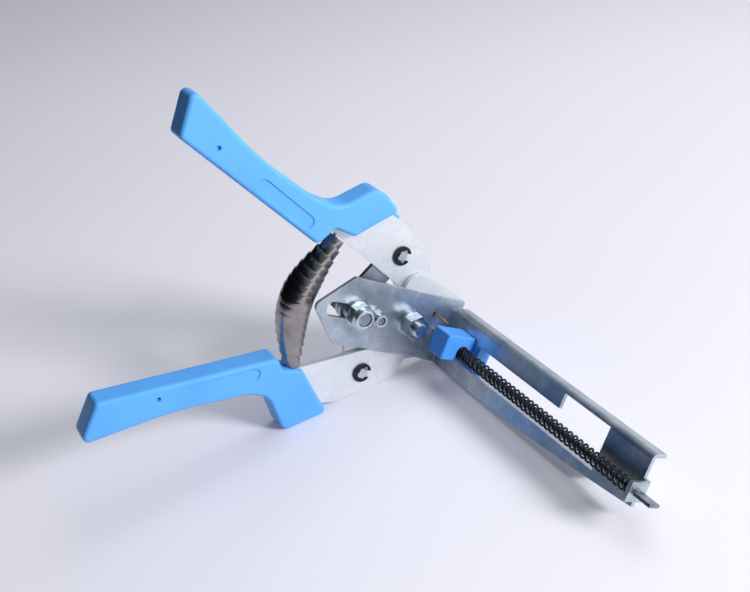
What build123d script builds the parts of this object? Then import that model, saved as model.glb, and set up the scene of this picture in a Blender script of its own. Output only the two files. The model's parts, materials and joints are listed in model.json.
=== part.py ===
"""Side-feeding M-clip pliers: two crossing levers with blue grips, a sheet-steel head whose
plate folds forward into a clip magazine, two closing links, and a sprung pusher on a rod.

Everything is drawn in the head's own frame: x runs from the pivot to the nose, y up to the
upper handle, and z out of the front plate along the magazine.  The head leans so that the
heel of the lower grip, the magazine's skirt and the lower jaw's nose share the floor.
"""
import os
from math import atan2, cos, degrees, hypot, pi, radians, sin, tan
from build123d import *

os.makedirs("parts", exist_ok=True)

# ---- sheet, stack and fits (millimetres) -------------------------------------------------
sheet = 2.0            # front plate and magazine
lever_t = 3.0          # both levers
link_t = 2.5           # both links
play = 0.3             # between stacked plates
fit = 0.05             # radial fit of a hole on its pin
open_fit = 0.45        # radial clearance of the links at their slide bolt
seat = 0.3             # from a loose piece to what carries it

# ---- resting stance ----------------------------------------------------------------------
heel = (-46.0, 69.0)   # lowest point of the lower grip's bulge, mirrored up for the upper one
nose = (34.7, 17.3)    # outer corner of the jaws
lean = atan2(heel[1] - nose[1], nose[0] - heel[0])
pivot_h = nose[0] * sin(lean) + nose[1] * cos(lean)

pivot_x = 73.1         # from the middle of the space the tool takes up to the pivot, seen from above
pivot_y = 81.35
head = Plane(origin=(pivot_x, pivot_y, pivot_h), x_dir=(cos(lean), 0, -sin(lean)), z_dir=(0, -1, 0))
head_y = Axis(head.origin, head.y_dir)
head_z = Axis(head.origin, head.z_dir)


def place(x, y, z=0.0):
    """A point given in the head's frame."""
    return head.from_local_coords(Vector(x, y, z))


def facing_handles(x):
    """A plane square to the head's x that looks back at the handles; its x is the head's z."""
    return Plane(origin=place(x, 0), x_dir=head.z_dir, z_dir=-head.x_dir)


# ---- layers behind the front plate's face, which is z = 0 --------------------------------
lower_lever_z = -sheet - play
upper_lever_z = lower_lever_z - lever_t - play
upper_link_z = upper_lever_z - lever_t - play
lower_link_z = upper_lever_z
mid_z = (lower_lever_z + upper_lever_z - lever_t) / 2

# ---- fasteners ---------------------------------------------------------------------------
bolt_d = 8.0           # pivot and slide bolts
bolt_af = 13.0
bolt_head = 5.3
bolt_chamfer = 0.7
washer_t = 1.6
washer_d = 15.0
lock_washer_t = 2.0
lock_washer_d = 14.4
nut_bottom = washer_t + lock_washer_t
plain_nut = 6.5
stud_out = 2.9         # of the pivot bolt, past its nut
lock_nut = 7.6
lock_hex = 5.4
lock_collar = 11.4
collar_round = 0.9
stud_sink = 0.4        # of a bolt's end, below the top of its lock nut
spacer_d = 12.0        # round the slide bolt, beside the lower link
spacer_t = lever_t
guide_d = 5.0          # small bolt that keeps the slide's washer square
guide_af = 8.0
guide_head = 2.6
guide_washer_t = 1.2
guide_washer_d = 8.0
guide_nut_h = 6.4
guide_hex = 3.8
guide_collar = 6.8
washer_gap = 0.1       # between the slide's washer and the guide's
pin_d = 6.0            # link pins and their rings
pin_head_d = 9.0
pin_head = 1.5
pin_out = 0.9
pin_chamfer = 0.5
ring_d = 11.0
ring_t = 0.9
groove_d = 4.8
ring_mouth = 4.2
ring_eye = 2.6
ring_eye_out = 0.7     # from the groove to the middle of each eye
ring_eye_turn = radians(55)

# ---- head --------------------------------------------------------------------------------
slide_x = -34.5        # slide bolt with the handles open
slide_travel = 15.0
guide_x = slide_x + (washer_d + guide_washer_d) / 2 + washer_gap
link_pin = (-16.2, 34.3)
link_w = 14.6
link_span = hypot(link_pin[0] - slide_x, link_pin[1])
link_angle = degrees(atan2(link_pin[1], link_pin[0] - slide_x))
slot_w = bolt_d + 0.2
slot_over = 0.4        # of the slot, past the slide's travel
plate_tip = -61.9
plate_tip_r = 4.0
plate_shoulder = (-42.6, 19.3)
plate_shoulder_r = 3.0
plate_step = 5.0
prong = (33.0, 16.8)
prong_foot = 11.3

# ---- magazine ----------------------------------------------------------------------------
web_x = 26.7
web_back = web_x + sheet
fold_r = 1.0           # inside radius of every fold
rail_end = 163.7
rail_top = 14.0
flange_x = 35.3
flange_start = 3.0
skirt_foot = 40.0
skirt_mid = (100.0, -18.4)
skirt_end = -13.2
skirt = (nose[1] + (nose[0] - web_back) * tan(lean))
slot_start = 6.0
slot_end = 101.3
slot_floor = -11.5
slot_top = 3.3
window_end = 135.2
window_top = 11.6
ledge_x = 34.6

# ---- feed --------------------------------------------------------------------------------
rod_x = 20.4
rod_y = -3.4
rod_d = 4.0
rod_out = 2.0          # past the end lug, before the tail's flats
rod_tail = 10.5
rod_tail_w = 6.4
rod_tail_t = 1.6
coil_d = 7.4
wire = 1.0
coil_gap = 0.2
lug_w = 10.0
lug_gap = 2.5
block_x = 7.7
block_y = (-8.7, 5.7)
block_z = (13.8, 27.6)
block_chamfer = 0.6
foot_z = (13.3, 33.5)
foot_x = 34.3
spring_pocket = 3.0
clip_start = 2.6
clip_wire = 2.0
clip_half = 10.2
clip_splay = 0.8
peg_d = 2.4
peg_at = (15.4, 7.2)

# ---- levers: outline of the upper arm and of the lower jaw that belongs to it ----------------
hub_r = 9.5
arm_front = (8.2, 24.0)
arm_knee = (3.5, 34.8)
knee_mid = (-1.4, 39.8)
arm_back = (-8.0, 43.7)
back_mid = (-15.6, 48.0)
arm_root = (-24.0, 52.8)
arm_top = ((-40.0, 57.0), (-58.0, 56.0))
tang_line = ((-76.0, 46.3), (-99.0, 51.3), (-140.0, 70.0))
tang_w = 9.2
edge_left = (-64.5, 40.0)
edge_right = (-15.0, 19.2)
root_mid = (-11.4, 15.8)
root_low = 10.0
jaw_mid = (-9.9, 9.0)
jaw_heel = (-8.5, 18.2)
jaw_top = (2.3, 26.6)
jaw_tip = (37.5, 10.9)
jaw_gap = 2.6          # from the middle to the jaw where it leaves the hub
nib_w = 3.4            # nib that holds the volute spring
nib_out = 5.0

# ---- grips -------------------------------------------------------------------------------
grip_t = 12.4
grip_round = 2.4
heel_back = -52.9      # ends of the straight heel that stands on the floor
heel_front = -29.6
dimple_d = 6.0
upper_dimple = (-140.4, 67.7)
lower_dimple = (-129.0, 63.0)
groove_at = (-95.5, 50.5)
groove_l = 40.0
groove_w = 5.0
groove_turn = 24.0
groove_deep = 0.8

# ---- volute spring -------------------------------------------------------------------------
spring_d = 18.4        # at its waist
spring_end_d = 9.6
spring_strip = 0.6
spring_turns = 12
turn_flare = 0.25      # each turn tapers by this much, on the radius
step_share = 0.04      # of one turn, taken by the step to the next
waist_power = 0.8      # below 1 the spring swells faster near its ends
bore_swell = 3.0       # how much wider the bore is at the waist, on the radius
bore_steps = 6
spring_seat = (-58.5, 37.5)
spring_bow = -69.6


# ==== front plate, folded forward into the magazine =========================================
def fold(plane, centre, side_x, side_y, length):
    """A quarter bend of the sheet, round a centre on the given plane."""
    outer = fold_r + sheet
    with BuildPart(mode=Mode.PRIVATE) as bend:
        with BuildSketch(plane):
            with Locations(centre):
                Circle(outer)
                Circle(fold_r, mode=Mode.SUBTRACT)
            with Locations((centre[0] + side_x * outer / 2, centre[1] + side_y * outer / 2)):
                Rectangle(outer, outer, mode=Mode.INTERSECT)
        extrude(amount=length)
    return bend.part


def sheet_bar(plane, x0, x1, y0, y1, length):
    """A bar with a rectangular section."""
    with BuildPart(mode=Mode.PRIVATE) as bar:
        with BuildSketch(plane):
            with Locations(((x0 + x1) / 2, (y0 + y1) / 2)):
                Rectangle(x1 - x0, y1 - y0)
        extrude(amount=length)
    return bar.part


def rising(y):
    """A plane square to the head's y: its x is the head's x and its y runs back along z."""
    return Plane(origin=place(0, y), x_dir=head.x_dir, z_dir=head.y_dir)


flat_x = web_x - fold_r
lug_z = rail_end + lug_gap
lug_floor = rod_y - lug_w / 2

with BuildPart() as front_plate:
    with BuildSketch(head):
        with BuildLine():
            Polyline(
                (plate_tip, 0),
                plate_shoulder,
                prong,
                (prong[0], prong_foot),
                (flat_x, prong_foot),
                (flat_x, -skirt),
                (plate_step, -plate_shoulder[1]),
                (plate_shoulder[0], -plate_shoulder[1]),
                close=True,
            )
        make_face()
        tip = vertices().sort_by(Axis.X)[0]
        shoulders = vertices().sort_by(Axis.X)[1:3]
        fillet(tip, plate_tip_r)
        fillet(shoulders, plate_shoulder_r)
    extrude(amount=-sheet)
    add(fold(rising(-skirt), (flat_x, -fold_r), 1, 1, skirt + prong_foot))
    # the web, with the skirt below that tapers toward the far end
    with BuildSketch(facing_handles(web_back)):
        with BuildLine():
            Polyline(
                (skirt_foot, -skirt),
                (fold_r, -skirt),
                (fold_r, prong_foot),
                (flange_start, prong_foot),
                (flange_start, rail_top - fold_r - sheet),
                (rail_end, rail_top - fold_r - sheet),
                (rail_end, skirt_end),
            )
            ThreePointArc((rail_end, skirt_end), skirt_mid, (skirt_foot, -skirt))
        make_face()
    extrude(amount=sheet)
    # top flange and lower ledge keep the clips in the channel
    flange = head.offset(flange_start)
    flange_fold = (web_back + fold_r, rail_top - sheet - fold_r)
    add(fold(flange, flange_fold, -1, 1, rail_end - flange_start))
    add(sheet_bar(flange, flange_fold[0], flange_x, rail_top - sheet, rail_top, rail_end - flange_start))
    ledge = head.offset(slot_start)
    add(sheet_bar(ledge, web_x, ledge_x, slot_floor - sheet, slot_floor, window_end - slot_start))
    # end lug that carries the rod
    add(sheet_bar(head.offset(rail_end), web_x, web_back, lug_floor, lug_floor + lug_w, lug_gap - fold_r))
    add(fold(rising(lug_floor), (flat_x, fold_r - lug_z), 1, -1, lug_w))
    add(sheet_bar(head.offset(lug_z), rod_x - lug_w / 2, flat_x, lug_floor, lug_floor + lug_w, sheet))
    # feed slot and loading window
    with BuildSketch(facing_handles(web_back)):
        with BuildLine():
            Polyline(
                (slot_start, slot_floor),
                (window_end, slot_floor),
                (window_end, window_top),
                (slot_end, window_top),
                (slot_end, slot_top),
                (slot_start, slot_top),
                close=True,
            )
        make_face()
    extrude(amount=sheet, mode=Mode.SUBTRACT)
    # pivot and guide holes, the slide's slot, the rod's seats and the peg's hole
    with BuildSketch(head):
        Circle(bolt_d / 2 + fit)
        with Locations((guide_x, 0)):
            Circle(guide_d / 2 + fit)
        with Locations((slide_x - slide_travel / 2, 0)):
            SlotCenterToCenter(slide_travel + slot_over, slot_w)
        with Locations((rod_x, rod_y)):
            Circle(rod_d / 2 + fit)
        with Locations(peg_at):
            Circle(peg_d / 2 + fit)
    extrude(amount=-sheet, mode=Mode.SUBTRACT)
    with BuildSketch(head.offset(lug_z)):
        with Locations((rod_x, rod_y)):
            Circle(rod_d / 2 + fit)
    extrude(amount=sheet, mode=Mode.SUBTRACT)


# ==== levers: hub, arm to the grip, and the jaw on the other side of the pivot ==============
def tang_edge(side):
    """Points along one edge of the tang, from the arm outward."""
    return [(x, y + side * tang_w / 2) for x, y in tang_line]


def lever(side, front):
    """The lever whose handle is on the given side (1 upper, -1 lower) and whose face is at z."""
    def up(x, y):
        return (x, side * y)

    def down(x, y):
        return (x, -side * y)

    pin = up(*link_pin)
    seat_way = Vector(edge_right[0] - edge_left[0], edge_right[1] - edge_left[1]).normalized()
    with BuildPart() as part:
        with BuildSketch(head.offset(front)):
            with BuildLine():
                l1 = Polyline(up(hub_r, 0), up(*arm_front), up(*arm_knee))
                l2 = ThreePointArc(l1 @ 1, up(*knee_mid), up(*arm_back))
                l3 = ThreePointArc(l2 @ 1, up(*back_mid), up(*arm_root))
                tang = list(arm_top) + tang_edge(1) + tang_edge(-1)[::-1] + [edge_left, edge_right]
                l4 = Polyline(l3 @ 1, *[up(*point) for point in tang])
                l5 = ThreePointArc(l4 @ 1, up(*root_mid), up(-hub_r, root_low))
                Line(l5 @ 1, up(-hub_r, 0))
                Line(up(-hub_r, 0), up(hub_r, 0))
            make_face()
            Circle(hub_r)
            # jaw
            with BuildLine():
                j1 = ThreePointArc(down(-hub_r, 0), down(*jaw_mid), down(*jaw_heel))
                j2 = TangentArc(j1 @ 1, down(*jaw_top), tangent=Vector(0, -side))
                Polyline(j2 @ 1, down(*nose), down(*jaw_tip), down(hub_r, jaw_gap), down(hub_r, 0))
                Line(down(hub_r, 0), down(-hub_r, 0))
            make_face()
            # nib that holds the volute spring
            nib_foot = up(*spring_seat)
            with Locations(Location((*nib_foot, 0), (0, 0, side * degrees(atan2(seat_way.Y, seat_way.X))))):
                Rectangle(nib_w, 2 * nib_out)
            Circle(bolt_d / 2 + fit, mode=Mode.SUBTRACT)
            with Locations(pin):
                Circle(pin_d / 2 + fit, mode=Mode.SUBTRACT)
        extrude(amount=-lever_t)
    return part


upper_lever = lever(1, upper_lever_z)
lower_lever = lever(-1, lower_lever_z)


# ==== grips ================================================================================
def floor_line(x):
    """Height of the floor's line, mirrored up to the upper grip, at a given x."""
    return heel[1] - (x - heel[0]) * tan(lean)


# corners of the upper grip with the radius that rounds each one, from the tip round the back
grip_corners = (
    ((-166.6, 67.6), 8.0),
    ((-163.8, 92.6), 7.0),
    ((-118.0, 69.4), 150.0),
    ((-77.5, 54.4), 12.0),
    ((heel_back, floor_line(heel_back)), 9.0),
    ((heel_front, floor_line(heel_front)), 4.0),
    ((-26.8, 53.4), 3.0),
    ((-50.8, 41.0), 12.0),
    ((-63.0, 42.8), 3.0),
    ((-70.0, 28.6), 8.0),
)


def grip(side, lever_part, dimple):
    """A moulded grip round its lever's tang, with a finger groove and a spring notch."""
    with BuildPart() as part:
        with BuildSketch(head.offset(mid_z - grip_t / 2)):
            with BuildLine():
                Polyline(*[corner for corner, radius in grip_corners], close=True)
            make_face()
            for corner, radius in grip_corners:
                fillet(vertices().sort_by_distance(Vector(*corner))[0], radius)
        extrude(amount=grip_t)
        fillet(part.faces().filter_by(head_z).edges(), grip_round)
        with BuildSketch(head.offset(mid_z + grip_t / 2)):
            with Locations(dimple):
                Circle(dimple_d / 2)
            with Locations(Location((*groove_at, 0), (0, 0, -groove_turn))):
                SlotOverall(groove_l, groove_w)
        extrude(amount=-groove_deep, mode=Mode.SUBTRACT)
        if side < 0:
            mirror(about=Plane(origin=head.origin, z_dir=head.y_dir), mode=Mode.REPLACE)
        add(lever_part.part, mode=Mode.SUBTRACT)
    return part


upper_grip = grip(1, upper_lever, upper_dimple)
lower_grip = grip(-1, lower_lever, lower_dimple)


# ==== closing links, their pins and E-rings ==================================================
def link(side, front):
    """A flat link from the slide bolt to the lever's pin."""
    middle = ((slide_x + link_pin[0]) / 2, side * link_pin[1] / 2)
    with BuildPart() as part:
        with BuildSketch(head.offset(front)):
            with Locations(Location((*middle, 0), (0, 0, side * link_angle))):
                SlotCenterToCenter(link_span, link_w)
            with Locations((slide_x, 0)):
                Circle(bolt_d / 2 + open_fit, mode=Mode.SUBTRACT)
            with Locations((link_pin[0], side * link_pin[1])):
                Circle(pin_d / 2 + fit, mode=Mode.SUBTRACT)
        extrude(amount=-link_t)
    return part


def pin(side, front, back):
    """A headed pin through lever and link, with a groove for its ring in front of the lever."""
    eye = head.offset(back - play)
    ring_face = front + fit
    with BuildPart() as part:
        with BuildSketch(eye):
            with Locations((link_pin[0], side * link_pin[1])):
                Circle(pin_head_d / 2)
        extrude(amount=-pin_head)
        with BuildSketch(eye):
            with Locations((link_pin[0], side * link_pin[1])):
                Circle(pin_d / 2)
        extrude(amount=ring_face + ring_t + fit + pin_out - back + play)
        with BuildSketch(head.offset(ring_face)):
            with Locations((link_pin[0], side * link_pin[1])):
                Circle(pin_d / 2 + fit)
                Circle(groove_d / 2, mode=Mode.SUBTRACT)
        extrude(amount=ring_t + 2 * fit, mode=Mode.SUBTRACT)
        chamfer(part.edges().sort_by(head_z)[-1], pin_chamfer)
    return part


def e_ring(side, front):
    """An E-shaped retaining ring, open toward the nose."""
    with BuildPart() as part:
        with BuildSketch(head.offset(front + 2 * fit)):
            with Locations((link_pin[0], side * link_pin[1])):
                Circle(ring_d / 2)
                Circle(groove_d / 2 + fit, mode=Mode.SUBTRACT)
            with Locations((link_pin[0] + ring_d / 2, side * link_pin[1])):
                Rectangle(ring_d, ring_mouth, mode=Mode.SUBTRACT)
            eye_r = groove_d / 2 + ring_eye_out
            for turn in (ring_eye_turn, -ring_eye_turn):
                with Locations((link_pin[0] + eye_r * cos(turn), side * link_pin[1] + eye_r * sin(turn))):
                    Circle(ring_eye / 2, mode=Mode.SUBTRACT)
        extrude(amount=ring_t)
    return part


upper_link = link(1, upper_link_z)
lower_link = link(-1, lower_link_z)
upper_link_pin = pin(1, upper_lever_z, upper_link_z - link_t)
lower_link_pin = pin(-1, lower_lever_z, lower_link_z - link_t)
upper_e_ring = e_ring(1, upper_lever_z)
lower_e_ring = e_ring(-1, lower_lever_z)


# ==== bolts, washers and nuts ================================================================
def bolt(x, diameter, flats, head_h, back, tip_z):
    """A hexagon-headed bolt whose head lies behind z = back and whose shank ends at tip_z."""
    with BuildPart() as part:
        with BuildSketch(head.offset(back)):
            with Locations((x, 0)):
                RegularPolygon(flats / 2, 6, major_radius=False, rotation=30)
        extrude(amount=-head_h)
        with BuildSketch(head.offset(back)):
            with Locations((x, 0)):
                Circle(diameter / 2)
        extrude(amount=tip_z - back)
        chamfer(part.edges().filter_by(GeomType.CIRCLE).sort_by(head_z)[-1], bolt_chamfer)
    return part


def washer(x, front, outer, bore, thick):
    """A plain washer or spacer that starts at z = front and grows forward."""
    with BuildPart() as part:
        with BuildSketch(head.offset(front)):
            with Locations((x, 0)):
                Circle(outer / 2)
                Circle(bore / 2 + fit, mode=Mode.SUBTRACT)
        extrude(amount=thick)
    return part


def nut(x, base, flats, hex_h, collar, height, bore):
    """A hexagon nut; a collar above the hexagon makes it a lock nut."""
    with BuildPart() as part:
        with BuildSketch(head.offset(base)):
            with Locations((x, 0)):
                RegularPolygon(flats / 2, 6, major_radius=False, rotation=30)
        extrude(amount=hex_h)
        if height > hex_h:
            with BuildSketch(head.offset(base + hex_h)):
                with Locations((x, 0)):
                    Circle(collar / 2)
            extrude(amount=height - hex_h)
            fillet(part.edges().filter_by(GeomType.CIRCLE).sort_by(head_z)[-1], collar_round)
        with BuildSketch(head.offset(base)):
            with Locations((x, 0)):
                Circle(bore / 2 + fit)
        extrude(amount=height, mode=Mode.SUBTRACT)
    return part


pivot_bolt = bolt(0, bolt_d, bolt_af, bolt_head, upper_lever_z - lever_t - play,
                  nut_bottom + plain_nut + stud_out)
pivot_washer = washer(0, 0, washer_d, bolt_d, washer_t)
pivot_lock_washer = washer(0, washer_t, lock_washer_d, bolt_d, lock_washer_t)
pivot_nut = nut(0, nut_bottom, bolt_af, plain_nut, 0, plain_nut, bolt_d)

slide_bolt = bolt(slide_x, bolt_d, bolt_af, bolt_head, upper_link_z - link_t - play,
                  play + washer_t + lock_nut - stud_sink)
slide_spacer = washer(slide_x, -sheet - play - spacer_t, spacer_d, bolt_d, spacer_t)
slide_washer = washer(slide_x, play, washer_d, bolt_d, washer_t)
slide_nut = nut(slide_x, play + washer_t, bolt_af, lock_hex, lock_collar, lock_nut, bolt_d)

guide_bolt = bolt(guide_x, guide_d, guide_af, guide_head, -sheet,
                  guide_washer_t + guide_nut_h - stud_sink)
guide_washer = washer(guide_x, 0, guide_washer_d, guide_d, guide_washer_t)
guide_nut = nut(guide_x, guide_washer_t, guide_af, guide_hex, guide_collar, guide_nut_h, guide_d)

# ==== volute spring between the levers =======================================================
seat_way = Vector(edge_right[0] - edge_left[0], edge_right[1] - edge_left[1]).normalized()
lower_end = (spring_seat[0] + seat * seat_way.Y, -spring_seat[1] + seat * seat_way.X)
upper_end = (lower_end[0], -lower_end[1])


def turn_radius(index):
    """Outer radius of one visible turn: narrow at both ends, widest at the waist."""
    swell = sin(pi * index / (spring_turns - 1)) ** waist_power
    return (spring_end_d + (spring_d - spring_end_d) * swell) / 2


with BuildLine() as spring_line:
    Spline(
        lower_end, (spring_bow, 0), upper_end,
        tangents=[(seat_way.Y, seat_way.X), (-seat_way.Y, seat_way.X)],
    )
spring_axis = head.offset(mid_z).from_local_coords(spring_line.edges()[0])


def ring_plane(share):
    """A plane square to the spring's line, at a share of its length."""
    return Plane(origin=spring_axis @ share, x_dir=head.z_dir, z_dir=spring_axis % share)


with BuildPart() as volute_spring:
    # every visible turn tapers upward, and a short step leads to the next
    for i in range(spring_turns):
        for share, flare in ((i + step_share, turn_flare), (i + 1 - step_share, -turn_flare)):
            with BuildSketch(ring_plane(share / spring_turns)):
                Circle(turn_radius(i) + flare)
    loft(ruled=True)
    for i in range(bore_steps + 1):
        share = i / bore_steps
        with BuildSketch(ring_plane(share)):
            Circle(spring_end_d / 2 - spring_strip - turn_flare + bore_swell * sin(pi * share))
    loft(ruled=True, mode=Mode.SUBTRACT)

# ==== guide rod, its retainer, pusher and spring =============================================
with BuildPart() as guide_rod:
    with BuildSketch(head.offset(-sheet)):
        with Locations((rod_x, rod_y)):
            Circle(rod_d / 2)
    extrude(amount=lug_z + sheet + rod_out + sheet)
    with BuildSketch(head.offset(lug_z + sheet + rod_out / 2)):
        with Locations((rod_x, rod_y)):
            Rectangle(rod_tail_w, rod_tail_t)
    extrude(amount=rod_tail)

block_face = web_x - seat

with BuildPart() as pusher_block:
    with BuildSketch(head.offset(block_z[0])):
        with Locations(((block_x + block_face) / 2, sum(block_y) / 2)):
            Rectangle(block_face - block_x, block_y[1] - block_y[0])
    extrude(amount=block_z[1] - block_z[0])
    chamfer(pusher_block.edges(), block_chamfer)
    # foot that reaches through the feed slot and pushes the clips
    with BuildSketch(head.offset(foot_z[0])):
        with Locations(((block_face + foot_x) / 2, (slot_floor + slot_top) / 2)):
            Rectangle(foot_x - block_face, slot_top - slot_floor - 2 * seat)
    extrude(amount=foot_z[1] - foot_z[0])
    with BuildSketch(head.offset(block_z[0])):
        with Locations((rod_x, rod_y)):
            Circle(rod_d / 2 + 2 * fit)
    extrude(amount=block_z[1] - block_z[0], mode=Mode.SUBTRACT)
    with BuildSketch(head.offset(block_z[1])):
        with Locations((rod_x, rod_y)):
            Circle(coil_d / 2 + coil_gap)
    extrude(amount=-spring_pocket, mode=Mode.SUBTRACT)

with BuildPart() as pusher_spring:
    with BuildSketch(head.offset(block_z[1] - spring_pocket)):
        with Locations((rod_x, rod_y)):
            Circle(coil_d / 2)
            Circle(coil_d / 2 - wire, mode=Mode.SUBTRACT)
    extrude(amount=lug_z - block_z[1] + spring_pocket)

# ==== clips in the channel, and the copper peg in the plate ==================================
with BuildPart() as m_clips:
    with BuildSketch(head.offset(clip_start)):
        with BuildLine():
            Polyline(
                (foot_x - clip_wire / 2, -clip_half),
                (web_back + seat + clip_wire / 2, -clip_half + clip_splay),
                (foot_x - clip_wire, 0),
                (web_back + seat + clip_wire / 2, clip_half - clip_splay),
                (foot_x - clip_wire / 2, clip_half),
            )
        trace(line_width=clip_wire)
    extrude(amount=clip_wire)

with BuildPart() as copper_peg:
    with BuildSketch(head.offset(-sheet)):
        with Locations(peg_at):
            Circle(peg_d / 2)
    extrude(amount=sheet + block_z[0] - seat)

pieces = {
    "front_plate": front_plate, "upper_lever": upper_lever, "lower_lever": lower_lever,
    "upper_grip": upper_grip, "lower_grip": lower_grip, "upper_link": upper_link,
    "lower_link": lower_link, "upper_link_pin": upper_link_pin, "lower_link_pin": lower_link_pin,
    "upper_e_ring": upper_e_ring, "lower_e_ring": lower_e_ring, "pivot_bolt": pivot_bolt,
    "pivot_washer": pivot_washer, "pivot_lock_washer": pivot_lock_washer, "pivot_nut": pivot_nut,
    "slide_bolt": slide_bolt, "slide_spacer": slide_spacer, "slide_washer": slide_washer,
    "slide_nut": slide_nut, "guide_bolt": guide_bolt, "guide_washer": guide_washer,
    "guide_nut": guide_nut, "volute_spring": volute_spring, "guide_rod": guide_rod,
    "pusher_block": pusher_block, "pusher_spring": pusher_spring, "m_clips": m_clips,
    "copper_peg": copper_peg,
}
for name, piece in pieces.items():
    piece.part.label = name
    export_step(piece.part, "parts/" + name + ".step")
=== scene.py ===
"""Looks for the side-feeding clip pliers: plated steel, moulded grips, a strip-wound volute
spring, a wire spring on its rod, a thread and nylon rings, on a pale floor in soft light."""
import json
from math import cos, pi, radians, sin

import bmesh
import bpy
from mathutils import Matrix, Vector


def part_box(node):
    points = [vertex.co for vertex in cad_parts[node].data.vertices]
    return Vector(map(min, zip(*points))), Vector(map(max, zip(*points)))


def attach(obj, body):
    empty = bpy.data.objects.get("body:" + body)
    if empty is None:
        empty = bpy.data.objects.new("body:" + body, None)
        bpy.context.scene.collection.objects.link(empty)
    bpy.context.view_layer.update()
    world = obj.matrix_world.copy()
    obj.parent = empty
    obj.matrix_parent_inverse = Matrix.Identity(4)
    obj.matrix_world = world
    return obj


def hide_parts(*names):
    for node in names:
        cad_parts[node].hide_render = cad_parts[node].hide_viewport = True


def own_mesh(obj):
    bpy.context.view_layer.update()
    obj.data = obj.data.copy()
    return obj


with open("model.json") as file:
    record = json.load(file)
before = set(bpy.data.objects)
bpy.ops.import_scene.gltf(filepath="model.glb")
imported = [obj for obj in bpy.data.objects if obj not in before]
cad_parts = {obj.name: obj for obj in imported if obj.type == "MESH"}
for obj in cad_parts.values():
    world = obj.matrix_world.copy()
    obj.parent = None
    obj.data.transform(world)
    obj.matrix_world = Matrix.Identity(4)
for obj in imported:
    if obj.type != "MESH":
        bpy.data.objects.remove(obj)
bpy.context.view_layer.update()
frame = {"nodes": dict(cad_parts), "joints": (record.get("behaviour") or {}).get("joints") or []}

scene = bpy.context.scene
nodes = frame["nodes"]
joints = {j["name"]: j for j in frame["joints"]}
MM = 0.001

# ---- the head's own frame, read from the joints: z runs forward from the plate's front ------
EX = -Vector(joints["slide_travel"]["axis"]).normalized()
EZ = Vector(joints["pusher_slide"]["axis"]).normalized()
EY = EZ.cross(EX)
PLATE_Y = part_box("pivot_washer")[1].y     # the washer's back, which lies on the plate
PIVOT = Vector(joints["upper_handle_turn"]["pos_m"])
PIVOT.y = PLATE_Y


def head(x, y, z):
    """A point of the head's frame, given in millimetres, in the scene."""
    return PIVOT + (EX * x + EY * y + EZ * z) * MM


def link_to_scene(obj):
    """Put a new object into the scene's own collection."""
    scene.collection.objects.link(obj)
    return obj


def mesh_object(name, verts, faces, smooth=True):
    """An object with these faces, their normals turned outward."""
    mesh = bpy.data.meshes.new(name)
    mesh.from_pydata([tuple(v) for v in verts], [], faces)
    mesh.validate()
    bm = bmesh.new()
    bm.from_mesh(mesh)
    bmesh.ops.recalc_face_normals(bm, faces=bm.faces)
    bm.to_mesh(mesh)
    bm.free()
    if smooth:
        mesh.polygons.foreach_set("use_smooth", [True] * len(mesh.polygons))
    return link_to_scene(bpy.data.objects.new(name, mesh))


def sweep(name, rings, caps=True, smooth=True):
    """A skin over closed rings of points, each ring with as many points as the first."""
    n = len(rings[0])
    last = (len(rings) - 1) * n
    verts = [p for ring in rings for p in ring]
    faces = []
    for i in range(len(rings) - 1):
        for k in range(n):
            a = i * n + k
            b = i * n + (k + 1) % n
            faces.append((a, b, b + n, a + n))
    if caps:
        faces.append(tuple(range(n - 1, -1, -1)))
        faces.append(tuple(range(last, last + n)))
    return mesh_object(name, verts, faces, smooth)


def fill_ramp(node, stops):
    """Give a colour ramp its (position, colour) stops."""
    elements = node.color_ramp.elements
    while len(elements) < len(stops):
        elements.new(0.5)
    for element, (position, colour) in zip(elements, stops):
        element.position = position
        element.color = (*colour, 1.0)


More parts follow.
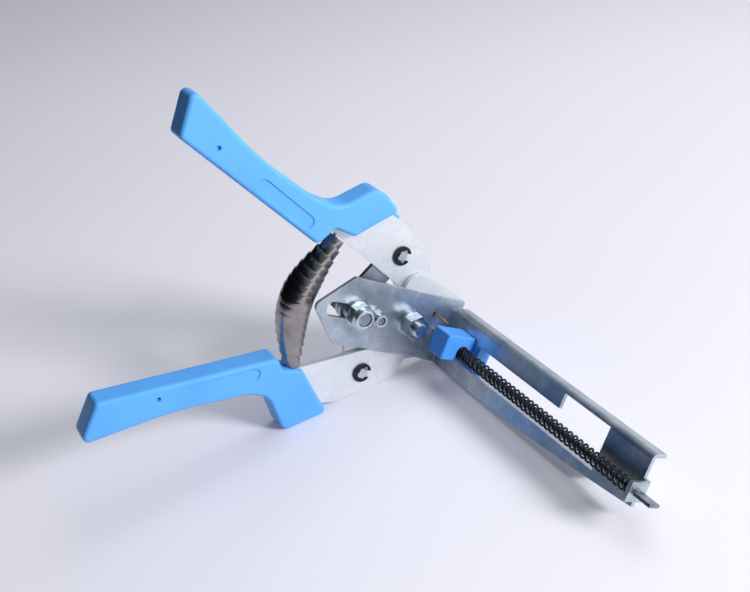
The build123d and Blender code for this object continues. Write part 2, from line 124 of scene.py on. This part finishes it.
# ---- materials ----------------------------------------------------------------------------
class Nodes:
    """A small helper that builds one material's node tree."""

    def __init__(self, name):
        self.mat = bpy.data.materials.new(name)
        self.mat.use_nodes = True
        self.tree = self.mat.node_tree
        self.tree.nodes.clear()
        self.out = self.tree.nodes.new("ShaderNodeOutputMaterial")
        self.bsdf = self.tree.nodes.new("ShaderNodeBsdfPrincipled")
        self.link(self.bsdf.outputs["BSDF"], self.out.inputs["Surface"])
        self.coord = self.tree.nodes.new("ShaderNodeTexCoord").outputs["Object"]

    def link(self, a, b):
        self.tree.links.new(a, b)

    def set(self, **values):
        for key, value in values.items():
            self.bsdf.inputs[key.replace("_", " ")].default_value = value

    def stretched(self, scale):
        """The object's coordinates, scaled differently along each axis."""
        m = self.tree.nodes.new("ShaderNodeMapping")
        m.inputs["Scale"].default_value = scale
        self.link(self.coord, m.inputs["Vector"])
        return m.outputs["Vector"]

    def noise(self, scale, detail=4.0, rough=0.55, vector=None, distortion=0.0):
        n = self.tree.nodes.new("ShaderNodeTexNoise")
        n.inputs["Scale"].default_value = scale
        n.inputs["Detail"].default_value = detail
        n.inputs["Roughness"].default_value = rough
        n.inputs["Distortion"].default_value = distortion
        self.link(vector or self.coord, n.inputs["Vector"])
        return n.outputs["Fac"]

    def ramp(self, fac, stops):
        r = self.tree.nodes.new("ShaderNodeValToRGB")
        fill_ramp(r, stops)
        self.link(fac, r.inputs["Fac"])
        return r.outputs["Color"]

    def math(self, op, *values):
        m = self.tree.nodes.new("ShaderNodeMath")
        m.operation = op
        for socket, value in zip(m.inputs, values):
            if isinstance(value, (int, float)):
                socket.default_value = value
            else:
                self.link(value, socket)
        return m.outputs[0]

    def mix(self, fac, a, b, blend="MIX"):
        m = self.tree.nodes.new("ShaderNodeMix")
        m.data_type = "RGBA"
        m.blend_type = blend
        for socket, value in ((m.inputs[0], fac), (m.inputs[6], a), (m.inputs[7], b)):
            if isinstance(value, (int, float)):
                socket.default_value = value
            elif isinstance(value, tuple):
                socket.default_value = (*value, 1.0)
            else:
                self.link(value, socket)
        return m.outputs[2]

    def bump(self, height, distance, strength, bevel=None):
        """Fine relief, over edges that a bevel shades round where one is given."""
        b = self.tree.nodes.new("ShaderNodeBump")
        b.inputs["Distance"].default_value = distance
        b.inputs["Strength"].default_value = strength
        self.link(height, b.inputs["Height"])
        if bevel:
            self.link(self.bevel(bevel), b.inputs["Normal"])
        self.link(b.outputs["Normal"], self.bsdf.inputs["Normal"])

    def bevel(self, radius):
        b = self.tree.nodes.new("ShaderNodeBevel")
        b.samples = 6
        b.inputs["Radius"].default_value = radius
        return b.outputs["Normal"]


def zinc(name, light, dark, rough=0.3, cloud=38.0, brush=(900.0, 900.0, 60.0), bevel=0.00035,
         fleck=1400.0, metal=1.0):
    """Bright zinc plating over rolled sheet: cool clouds, fine grain and faint handling marks."""
    n = Nodes(name)
    clouds = n.noise(cloud, 5.0, 0.6, distortion=0.4)
    grain = n.noise(fleck, 3.0, 0.6)
    marks = n.noise(1.0, 3.0, 0.5, n.stretched(brush))
    base = n.ramp(clouds, ((0.32, dark), (0.66, light)))
    speck = n.ramp(grain, ((0.3, (0.80, 0.81, 0.84)), (0.62, (1.0, 1.0, 1.0))))
    n.link(n.mix(0.55, base, speck, "MULTIPLY"), n.bsdf.inputs["Base Color"])
    r = n.math("MULTIPLY_ADD", clouds, 0.16, rough - 0.08)
    n.link(n.math("ADD", r, n.math("MULTIPLY", marks, 0.08)), n.bsdf.inputs["Roughness"])
    n.set(Metallic=metal)
    n.bump(n.math("ADD", n.math("MULTIPLY", grain, 0.5), marks), 0.00003, 0.35, bevel)
    return n.mat


def plastic(name, light, dark, rough=0.34):
    """Moulded plastic: a slight mottle, fine moulding texture and soft flow marks."""
    n = Nodes(name)
    mottle = n.noise(26.0, 3.0, 0.5)
    fine = n.noise(1900.0, 2.0, 0.5)
    wear = n.noise(160.0, 6.0, 0.65)
    n.link(n.ramp(mottle, ((0.35, dark), (0.65, light))), n.bsdf.inputs["Base Color"])
    n.link(n.math("MULTIPLY_ADD", wear, 0.18, rough - 0.09), n.bsdf.inputs["Roughness"])
    n.set(IOR=1.49)
    n.bump(n.math("ADD", fine, n.math("MULTIPLY", wear, 0.6)), 0.00004, 0.25, 0.0004)
    return n.mat


def black_wire(name):
    """Oiled black spring wire."""
    n = Nodes(name)
    stain = n.noise(300.0, 4.0, 0.6)
    n.link(n.ramp(stain, ((0.3, (0.008, 0.009, 0.011)), (0.7, (0.024, 0.026, 0.031)))),
           n.bsdf.inputs["Base Color"])
    n.link(n.math("ADD", n.math("MULTIPLY", stain, 0.2), 0.2), n.bsdf.inputs["Roughness"])
    n.set(Metallic=0.6, Specular_IOR_Level=0.6)
    n.bump(n.noise(2200.0, 2.0), 0.00002, 0.3)
    return n.mat


def strip_steel(name):
    """Polished spring strip in a dark, clouded tone."""
    n = Nodes(name)
    cloud = n.noise(120.0, 4.0, 0.6)
    n.link(n.ramp(cloud, ((0.3, (0.27, 0.25, 0.25)), (0.7, (0.44, 0.40, 0.385)))),
           n.bsdf.inputs["Base Color"])
    n.link(n.math("ADD", n.math("MULTIPLY", cloud, 0.10), 0.16), n.bsdf.inputs["Roughness"])
    n.set(Metallic=1.0)
    n.bump(n.noise(900.0, 3.0), 0.00002, 0.25)
    return n.mat


def copper(name):
    """Copper-plated clip wire, a little dulled."""
    n = Nodes(name)
    cloud = n.noise(400.0, 4.0, 0.6)
    n.link(n.ramp(cloud, ((0.3, (0.42, 0.19, 0.09)), (0.7, (0.72, 0.38, 0.20)))),
           n.bsdf.inputs["Base Color"])
    n.link(n.math("ADD", n.math("MULTIPLY", cloud, 0.2), 0.22), n.bsdf.inputs["Roughness"])
    n.set(Metallic=1.0)
    n.bump(n.noise(1500.0, 2.0), 0.00002, 0.3, 0.0002)
    return n.mat


def nylon(name):
    """The pale ring that keeps a lock nut from turning."""
    n = Nodes(name)
    cloud = n.noise(500.0, 2.0)
    n.link(n.ramp(cloud, ((0.3, (0.36, 0.43, 0.52)), (0.7, (0.50, 0.57, 0.66)))),
           n.bsdf.inputs["Base Color"])
    n.set(Roughness=0.45, Subsurface_Weight=0.2, Subsurface_Scale=0.001)
    return n.mat


SHEET = zinc("zinc_sheet", (0.70, 0.76, 0.80), (0.38, 0.47, 0.56), 0.33, 70.0,
             fleck=620.0, metal=0.9)
LEVER = zinc("zinc_lever", (0.93, 0.95, 0.96), (0.82, 0.87, 0.90), 0.44, 90.0,
             fleck=800.0, metal=0.72)
LINK = zinc("zinc_link", (0.70, 0.74, 0.77), (0.52, 0.58, 0.62), 0.36, 70.0)
BOLT = zinc("zinc_bolt", (0.74, 0.79, 0.82), (0.50, 0.58, 0.65), 0.20, 160.0,
            (1200.0, 1200.0, 1200.0), 0.0003)
# the rod's zinc is darker than the other zinc: painted shade that stands in for the dark inside of
# the coil
ROD_PAINTED_SHADE = zinc("rod_painted_shade", (0.44, 0.47, 0.51), (0.20, 0.23, 0.27), 0.26, 200.0,
                 (1500.0, 1500.0, 90.0))
GRIP = plastic("grip_plastic", (0.115, 0.425, 0.940), (0.098, 0.385, 0.910))
BLOCK = plastic("block_plastic", (0.085, 0.350, 0.930), (0.070, 0.310, 0.900), 0.30)
WIRE = black_wire("black_wire")
STRIP = strip_steel("spring_strip")
COPPER = copper("copper_wire")
NYLON = nylon("nylon_ring")

CAD_LOOKS = {
    "front_plate": SHEET, "upper_lever": LEVER, "lower_lever": LEVER,
    "upper_grip": GRIP, "lower_grip": GRIP, "upper_link": LINK, "lower_link": LINK,
    "upper_link_pin": BOLT, "lower_link_pin": BOLT, "upper_e_ring": WIRE, "lower_e_ring": WIRE,
    "pivot_bolt": BOLT, "pivot_washer": BOLT, "pivot_lock_washer": BOLT, "pivot_nut": BOLT,
    "slide_bolt": BOLT, "slide_spacer": LINK, "slide_washer": BOLT, "slide_nut": BOLT,
    "guide_bolt": BOLT, "guide_washer": BOLT, "guide_nut": BOLT, "volute_spring": STRIP,
    "guide_rod": ROD_PAINTED_SHADE, "pusher_block": BLOCK, "pusher_spring": WIRE,
    "m_clips": COPPER, "copper_peg": COPPER,
}
for node_name, look in CAD_LOOKS.items():
    slots = nodes[node_name].material_slots
    if not slots:
        nodes[node_name].data.materials.append(look)
    for s in slots:
        s.material = look


def dress(obj, look, body):
    """Give a piece its look and the body that it rides on."""
    obj.data.materials.clear()
    obj.data.materials.append(look)
    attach(obj, body)
    return obj


# ---- grips: moulded outline, rounded edges, finger pocket, dimple and back lip ----------------
# Corners are (x, y, radius) in the head's frame, in millimetres. Both grips are given on the
# upper side, and the lower one is mirrored.
FACE_Z = 0.75
BACK_Z = -14.0
EDGE_ROUND = 2.3
LIP_FRONT = BACK_Z + 7.6
LIP_BACK = BACK_Z + 0.2
LIP_ROUND = 1.0
FLOOR_AT = (-46.0, 69.0)      # a point of the floor, mirrored to the upper side
FLOOR_SLOPE = 0.6406          # how fast the floor comes nearer towards the nose
POCKET = (Vector((-112.2, 55.0)), Vector((-82.4, 42.6)))
POCKET_WIDTH = 8.0
POCKET_DEEP = 0.75
POCKET_DRAFT = 0.9
DIMPLE_R = 1.25
DIMPLE_DEEP = 1.6
OVERCUT = 0.3                 # how far a cutting tool stands out of the face


def on_floor(x, radius):
    """A corner of the lower grip's heel, which stands on the floor."""
    return x, FLOOR_AT[1] - FLOOR_SLOPE * (x - FLOOR_AT[0]), radius


TIP = ((-160.6, 67.6, 2.6), (-162.0, 91.6, 3.4), (-118.0, 67.6, 160.0))
UPPER_CORNERS = TIP + (
    (-81.0, 55.0, 16.0), (-67.0, 53.2, 14.0), (-50.0, 67.4, 5.5), (-41.5, 65.2, 8.0),
    (-31.4, 58.8, 2.4), (-52.2, 40.2, 2.6), (-65.2, 42.2, 2.3), (-71.6, 31.9, 4.0))
LOWER_CORNERS = TIP + (
    (-82.0, 54.6, 16.0), (-69.5, 54.2, 10.0), on_floor(-53.2, 5.5), on_floor(-30.4, 2.4),
    (-54.5, 36.6, 3.2), (-66.6, 37.8, 2.3), (-71.4, 31.6, 4.0))
LIP_CORNERS = (
    (-44.0, 58.0, 2.0), (-36.0, 60.4, 2.0), (-25.8, 55.0, 1.6), (-24.0, 51.8, 1.6),
    (-33.0, 50.6, 2.0))


def rounded(corners, per_turn=44):
    """A closed outline with each (x, y, radius) corner rounded by an arc."""
    out = []
    n = len(corners)
    for i, (x, y, r) in enumerate(corners):
        p = Vector((x, y))
        a = (Vector(corners[i - 1][:2]) - p).normalized()
        b = (Vector(corners[(i + 1) % n][:2]) - p).normalized()
        half = a.angle(b) / 2
        sweep_angle = pi - 2 * half
        middle = p + (a + b).normalized() * (r / sin(half))
        start = p + a * (r / sin(half) * cos(half)) - middle
        count = max(3, round(per_turn * sweep_angle / (2 * pi)) + 1)
        way = 1.0 if a.cross(b) < 0 else -1.0
        for k in range(count + 1):
            t = way * sweep_angle * k / count
            out.append(middle + Vector((start.x * cos(t) - start.y * sin(t),
                                        start.x * sin(t) + start.y * cos(t))))
    return out


def prism(name, outline, front, back, side):
    """A slab between two depths; side -1 mirrors its outline to the lower handle."""
    n = len(outline)
    verts = [head(p.x, side * p.y, z) for z in (back, front) for p in outline]
    faces = [tuple(range(n)), tuple(range(2 * n - 1, n - 1, -1))]
    faces += [(i, i + n, (i + 1) % n + n, (i + 1) % n) for i in range(n)]
    return mesh_object(name, verts, faces)


def circle(centre, radius, count=20):
    """The outline of a round hole."""
    return [Vector(centre) + Vector((cos(t), sin(t))) * radius
            for t in (2 * pi * k / count for k in range(count))]


def oblong(a, b, width, count=14):
    """The outline of a slot from a to b."""
    way = (b - a).normalized()
    side = Vector((-way.y, way.x))
    out = []
    for centre, flip in ((b, 1), (a, -1)):
        for k in range(count + 1):
            t = pi * k / count - pi / 2
            out.append(centre + (way * cos(t) + side * sin(t)) * (flip * width / 2))
    return out


def applied(obj):
    """The piece with its modifiers made real."""
    bpy.context.view_layer.update()
    depsgraph = bpy.context.evaluated_depsgraph_get()
    mesh = bpy.data.meshes.new_from_object(obj.evaluated_get(depsgraph))
    obj.modifiers.clear()
    obj.data = mesh
    return obj


def carve(obj, tool, operation="DIFFERENCE"):
    """Cut the tool out of a piece, or join it on, and drop the tool."""
    cut = obj.modifiers.new("cut", "BOOLEAN")
    cut.operation = operation
    cut.solver = "EXACT"
    cut.object = tool
    applied(obj)
    bpy.data.objects.remove(tool, do_unlink=True)


def rounded_slab(name, corners, front, back, radius, side):
    """A slab with rounded corners and rounded edges."""
    slab = prism(name, rounded(corners), front, back, side)
    edge = slab.modifiers.new("round", "BEVEL")
    edge.width = radius * MM
    edge.segments = 5
    edge.limit_method = "ANGLE"
    edge.angle_limit = radians(50)
    return applied(slab)


def shrink_far_end(tool, inset):
    """Draft for a pocket's tool: its far end is smaller all round by inset millimetres."""
    n = len(tool.data.vertices) // 2
    half = n // 2
    points = [v.co.copy() for v in tool.data.vertices]
    a = sum(points[:half], Vector()) / half
    b = sum(points[half:n], Vector()) / (n - half)
    for k in range(n):
        out = points[k] - (a if k < half else b)
        tool.data.vertices[k].co = points[k] - out.normalized() * inset * MM


def build_grip(name, corners, side, dimple):
    """A grip with its back lip, and a pocket and a dimple in each face."""
    piece = rounded_slab(name, corners, FACE_Z, BACK_Z, EDGE_ROUND, side)
    lip = rounded_slab("lip", LIP_CORNERS, LIP_FRONT, LIP_BACK, LIP_ROUND, side)
    carve(piece, lip, "UNION")
    for face, inward in ((FACE_Z, -1), (BACK_Z, 1)):
        outside = face - inward * OVERCUT
        pocket = prism("pocket", oblong(*POCKET, POCKET_WIDTH), outside,
                       face + inward * POCKET_DEEP, side)
        shrink_far_end(pocket, POCKET_DRAFT)
        carve(piece, pocket)
        carve(piece, prism("dimple", circle(dimple, DIMPLE_R), outside,
                           face + inward * DIMPLE_DEEP, side))
    shade = piece.modifiers.new("shade", "WEIGHTED_NORMAL")
    shade.keep_sharp = True
    shade.weight = 60
    piece.data.polygons.foreach_set("use_smooth", [True] * len(piece.data.polygons))
    piece.data.set_sharp_from_angle(angle=radians(32))
    return applied(piece)


upper_grip = build_grip("upper_grip_moulding", UPPER_CORNERS, 1, (-140.8, 67.8))
lower_grip = build_grip("lower_grip_moulding", LOWER_CORNERS, -1, (-129.8, 61.6))
dress(upper_grip, GRIP, "upper_handle")
dress(lower_grip, GRIP, "lower_handle")
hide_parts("upper_grip")
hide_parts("lower_grip")

# ---- volute spring: one strip wound in overlapping turns, widest at the waist ----------------
MID_Z = -5.45                 # the middle of the spring's depth
TURNS = 16
STRIP_H = 8.6                 # the strip's width, along the spring
STRIP_T = 0.55
STRIP_ROUND = (0.12, 0.05)    # how far the strip's outer edges are eased, along it and in depth
END_R = 4.4
WAIST_R = 9.1
SEAT = Vector((-58.4, 38.0))  # the middle of the upper seat, and of the lower one mirrored
BOW_X = -70.0                 # how far back the middle line bows
SEAT_WAY = Vector((49.5, -20.8)).normalized()


def bezier(a, b, c, d, t):
    """A point of the cubic curve from a to d that b and c steer."""
    u = 1 - t
    return a * u ** 3 + b * 3 * u * u * t + c * 3 * u * t * t + d * t ** 3


def spring_line(share):
    """The spring's bowed middle line from the lower seat to the upper one, with its tangent."""
    low = Vector((SEAT.x, -SEAT.y))
    pull = 4 * (SEAT.x - BOW_X) / 3
    aim = Vector((SEAT_WAY.y, SEAT_WAY.x))
    reach = pull / abs(aim.x)
    h0 = low + aim * reach
    h1 = Vector((h0.x, -h0.y))
    end = Vector((SEAT.x, SEAT.y))
    p = bezier(low, h0, h1, end, share)
    ahead = bezier(low, h0, h1, end, min(share + 0.002, 1.0))
    behind = bezier(low, h0, h1, end, max(share - 0.002, 0.0))
    return p, (ahead - behind).normalized()


def build_volute(name, first, last):
    """The turns of the spring between two shares of its length."""
    steps = 56
    total = TURNS * steps
    marks = [spring_line(i / 60)[0] for i in range(61)]
    length = sum((b - a).length for a, b in zip(marks, marks[1:]))
    low = STRIP_H * 0.42 / length
    ease, eased = STRIP_ROUND
    rings = []
    for i in range(round(total * first), round(total * last) + 1):
        # the first and the last turn are closed, so that the spring sits flat on both seats
        climbed = min(max((i / total * TURNS - 1) / (TURNS - 2), 0.0), 1.0)
        share = low + (1 - 2 * low) * climbed
        centre, tangent = spring_line(share)
        side = Vector((tangent.y, -tangent.x))
        turn = 2 * pi * i / steps
        r = END_R + (WAIST_R - END_R) * sin(pi * (share - low) / (1 - 2 * low)) ** 0.8
        # the strip is shorter where it starts and ends, so that both mouths are square to the line
        up_end = min(STRIP_H / 2, (1 - share) * length)
        low_end = min(STRIP_H / 2, share * length)
        ring = []
        for along, depth in ((-low_end, -eased), (-low_end + ease, 0.0), (up_end - ease, 0.0),
                             (up_end, -eased), (up_end, -STRIP_T), (-low_end, -STRIP_T)):
            rr = r + depth
            flat = centre + tangent * along + side * (rr * cos(turn))
            ring.append(head(flat.x, flat.y, MID_Z + rr * sin(turn)))
        rings.append(ring)
    strip = sweep(name, rings)
    strip.data.set_sharp_from_angle(angle=radians(30))
    return strip


# the seats swing as the handles close; the spring is made as two halves that meet at the waist
for piece_name, first, last, side in (("volute_lower_turns", 0.0, 0.5, -1),
                                      ("volute_upper_turns", 0.5, 1.0, 1)):
    volute = build_volute(piece_name, first, last)
    dress(volute, STRIP, "head")
    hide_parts("volute_spring")
    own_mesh(volute)

# ---- wire spring on the rod -----------------------------------------------------------------
ROD = (20.4, -3.4)            # x and y of the rod's middle line
COIL_R = 3.09                 # to the middle of the wire
WIRE_R = 0.61
spring_lo, spring_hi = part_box("pusher_spring")
COIL_START = (PLATE_Y - spring_hi.y) / MM
COIL_END = (PLATE_Y - spring_lo.y) / MM


def build_coil(close=5.0, close_pitch=2.3, pitch=3.9, steps=24, around=8):
    """A wire spring with a few close turns by the block, open ones beyond and a flat last turn."""
    length = COIL_END - COIL_START - 2 * WIRE_R
    open_turns = (length - close * close_pitch - WIRE_R * 2) / pitch
    turns = close + open_turns + 1.0
    total = round(turns * steps)
    rings = []
    for i in range(total + 1):
        done = turns * i / total
        if done < close:
            z = done * close_pitch
        else:
            z = close * close_pitch + min(done - close, open_turns) * pitch
        z += max(done - close - open_turns, 0) * WIRE_R * 2
        turn = 2 * pi * done
        ring = []
        for k in range(around):
            a = 2 * pi * k / around
            r = COIL_R + WIRE_R * cos(a)
            ring.append(head(ROD[0] + r * cos(turn), ROD[1] + r * sin(turn),
                             COIL_START + WIRE_R + z + WIRE_R * sin(a)))
        rings.append(ring)
    return sweep("rod_spring", rings)


coil = build_coil()
dress(coil, WIRE, "head")
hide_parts("pusher_spring")
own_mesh(coil)


# ---- thread on the pivot stud, nylon rings in the two lock nuts, the short copper bar --------
THREAD_R = 3.98
THREAD_LONG = 2.0
THREAD_PITCH = 0.62
THREAD_HIGH = 0.16
THREAD_ROOT = 0.10            # how far the thread's feet stand inside the shank
THREAD_START = 0.35           # from the shank's end to the first crest
BAR_THICK = 0.84
BAR_WIDE = 1.9
BAR_CHAMFER = (0.2, 0.22)
BAR_BEND = 0.25
BAR_LONG = 15.5


def front_end(node):
    """The middle of a piece's front end; the tool's front faces -y."""
    lo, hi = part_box(node)
    middle = (lo + hi) / 2
    return Vector((middle.x, lo.y, middle.z))


def lathe(name, centre, profile, around=48):
    """A closed ring of (radius, forward) points, in millimetres, turned about the depth axis."""
    rings = []
    for i in range(around + 1):
        t = 2 * pi * i / around
        way = EX * cos(t) + EY * sin(t)
        rings.append([centre + (way * r + EZ * f) * MM for r, f in profile])
    return sweep(name, rings, caps=False)


def thread(name, end, steps=28):
    """A rolled thread over the last stretch of a bolt's shank."""
    foot = THREAD_PITCH * 0.42
    section = ((-THREAD_ROOT, -foot), (THREAD_HIGH, 0.0), (-THREAD_ROOT, foot))
    rings = []
    for i in range(round(THREAD_LONG / THREAD_PITCH * steps) + 1):
        t = 2 * pi * i / steps
        back = -THREAD_START - THREAD_PITCH * i / steps
        way = EX * cos(t) + EY * sin(t)
        rings.append([end + (way * (THREAD_R + r) + EZ * (back + f)) * MM for r, f in section])
    return sweep(name, rings, smooth=False)


def nylon_profile(shank):
    """The ring's section round a shank: a low crown that starts inside the nut."""
    return ((shank, -0.5), (shank, 0.10), (shank + 0.14, 0.22), (shank + 0.62, 0.22),
            (shank + 0.78, 0.08), (shank + 0.78, -0.5))


def build_bar(name, end):
    """A flat bar with chamfered edges, slightly bowed and thinner at its two ends."""
    x, y = BAR_WIDE / 2, BAR_THICK / 2
    in_x, in_y = x - BAR_CHAMFER[0], y - BAR_CHAMFER[1]
    section = ((-x, -in_y), (-in_x, -y), (in_x, -y), (x, -in_y),
               (x, in_y), (in_x, y), (-in_x, y), (-x, in_y))
    rings = []
    for back, swell in ((0.0, 0.72), (0.25, 1.0), (4.0, 1.0), (8.0, 1.0), (12.0, 1.0),
                        (15.0, 1.0), (15.4, 0.8)):
        bend = BAR_BEND * sin(pi * back / BAR_LONG)
        rings.append([end + (EX * (u * swell) + EY * (v * swell + bend) - EZ * back) * MM
                      for u, v in section])
    return sweep(name, rings, smooth=False)


dress(thread("pivot_stud_thread", front_end("pivot_bolt")), BOLT, "head")
for nut, shank, body in (("slide_nut", 4.05, "slide"), ("guide_nut", 2.55, "head")):
    ring = lathe(nut + "_nylon", front_end(nut), nylon_profile(shank))
    dress(ring, NYLON, body)

bar = build_bar("copper_bar", front_end("copper_peg"))
dress(bar, COPPER, "head")
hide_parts("copper_peg")


# ---- floor, light and camera ------------------------------------------------------------------
FLOOR_HALF = 4.0
FLOOR_GLOW = 0.10             # how much lighter than its albedo the floor is seen
BACKDROP = (0.75, 0.75, 0.80)
SKY_WAY = (0.93, -0.25, 0.26)
SKY_STRENGTH = 0.55
SKY_STOPS = ((0.0, (0.004, 0.006, 0.012)), (0.42, (0.018, 0.022, 0.030)),
             (0.66, (0.44, 0.49, 0.56)), (0.95, (1.00, 1.03, 1.08)))
KEY_WAY = Vector((0.48, -0.74, 0.47))
LAMP_AIM = (0.0, 0.0, 0.06)
CAMERA_AT = Vector((-0.14769, -0.37342, 0.35863))
AIM_AT = Vector((0.06242, 0.09578, 0.04785))
CAMERA_RIGHT = Vector((0.86242, -0.48412, -0.14784))    # the camera is rolled a little
LENS = 52.557


def floor_material():
    """Pale paper: what the camera and the metal see of it is a little lighter than its albedo."""
    n = Nodes("pale_floor")
    cloud = n.noise(2.2, 2.0, 0.4)
    n.link(n.ramp(cloud, ((0.3, (0.78, 0.77, 0.84)), (0.7, (0.82, 0.81, 0.87)))),
           n.bsdf.inputs["Base Color"])
    n.set(Roughness=0.9, Specular_IOR_Level=0.1, Emission_Color=(0.96, 0.95, 1.0, 1.0))
    path = n.tree.nodes.new("ShaderNodeLightPath").outputs
    seen = n.math("MAXIMUM", path["Is Camera Ray"], path["Is Glossy Ray"])
    seen = n.math("MAXIMUM", seen, path["Is Transmission Ray"])
    n.link(n.math("MULTIPLY", seen, FLOOR_GLOW), n.bsdf.inputs["Emission Strength"])
    return n.mat


floor_corners = [(x * FLOOR_HALF, y * FLOOR_HALF, 0)
                 for x, y in ((-1, -1), (1, -1), (1, 1), (-1, 1))]
floor = mesh_object("floor", floor_corners, [(0, 1, 2, 3)], False)
floor.data.materials.append(floor_material())


def build_world():
    """A room that is light on the tool's right and dark on its left, with a pale backdrop."""
    world = bpy.data.worlds.new("studio")
    world.use_nodes = True
    tree = world.node_tree
    background = tree.nodes["Background"]
    facing = tree.nodes.new("ShaderNodeVectorMath")
    facing.operation = "DOT_PRODUCT"
    facing.inputs[1].default_value = SKY_WAY
    sky = tree.nodes.new("ShaderNodeTexCoord")
    tree.links.new(sky.outputs["Generated"], facing.inputs[0])
    # from -1..1 to the ramp's 0..1
    spread = tree.nodes.new("ShaderNodeMath")
    spread.operation = "MULTIPLY_ADD"
    spread.inputs[1].default_value = 0.5
    spread.inputs[2].default_value = 0.5
    tree.links.new(facing.outputs["Value"], spread.inputs[0])
    tone = tree.nodes.new("ShaderNodeValToRGB")
    fill_ramp(tone, SKY_STOPS)
    tree.links.new(spread.outputs[0], tone.inputs["Fac"])
    # past the floor's edge the camera sees the backdrop
    path = tree.nodes.new("ShaderNodeLightPath")
    shown = tree.nodes.new("ShaderNodeMix")
    shown.data_type = "RGBA"
    shown.inputs[7].default_value = (*BACKDROP, 1.0)
    tree.links.new(path.outputs["Is Camera Ray"], shown.inputs[0])
    tree.links.new(tone.outputs["Color"], shown.inputs[6])
    tree.links.new(shown.outputs[2], background.inputs["Color"])
    background.inputs["Strength"].default_value = SKY_STRENGTH
    return world


scene.world = build_world()


def square_lamp(name, place, target, size, power, colour):
    """A square lamp that shines from one place to another, in metres and watts."""
    data = bpy.data.lights.new(name, "AREA")
    data.shape = "RECTANGLE"
    data.size = data.size_y = size
    data.energy = power
    data.color = colour
    obj = link_to_scene(bpy.data.objects.new(name, data))
    obj.location = place
    obj.rotation_euler = (Vector(target) - Vector(place)).to_track_quat("-Z", "Y").to_euler()
    return obj


# the key only lights, and a larger and weaker lamp beside it is what the plating mirrors
key = square_lamp("key", KEY_WAY * 1.65, LAMP_AIM, 0.42, 28.0, (1.0, 0.99, 1.0))
key.visible_glossy = False
gleam = square_lamp("gleam", KEY_WAY * 1.60, LAMP_AIM, 0.60, 5.0, (1.0, 0.98, 0.96))
gleam.visible_diffuse = False
top = square_lamp("top", (0.55, 0.25, 1.05), (0.0, 0.0, 0.0), 0.80, 4.2, (0.94, 0.96, 1.0))
top.visible_glossy = False

camera_data = bpy.data.cameras.new("camera")
camera_data.sensor_width = 36.0
camera_data.lens = LENS
camera = link_to_scene(bpy.data.objects.new("camera", camera_data))
forward = (AIM_AT - CAMERA_AT).normalized()
right = (CAMERA_RIGHT - forward * CAMERA_RIGHT.dot(forward)).normalized()
up = right.cross(forward)
turned = Matrix((right, up, -forward)).transposed().to_4x4()
camera.matrix_world = Matrix.Translation(CAMERA_AT) @ turned
scene.camera = camera

scene.view_settings.view_transform = "Standard"
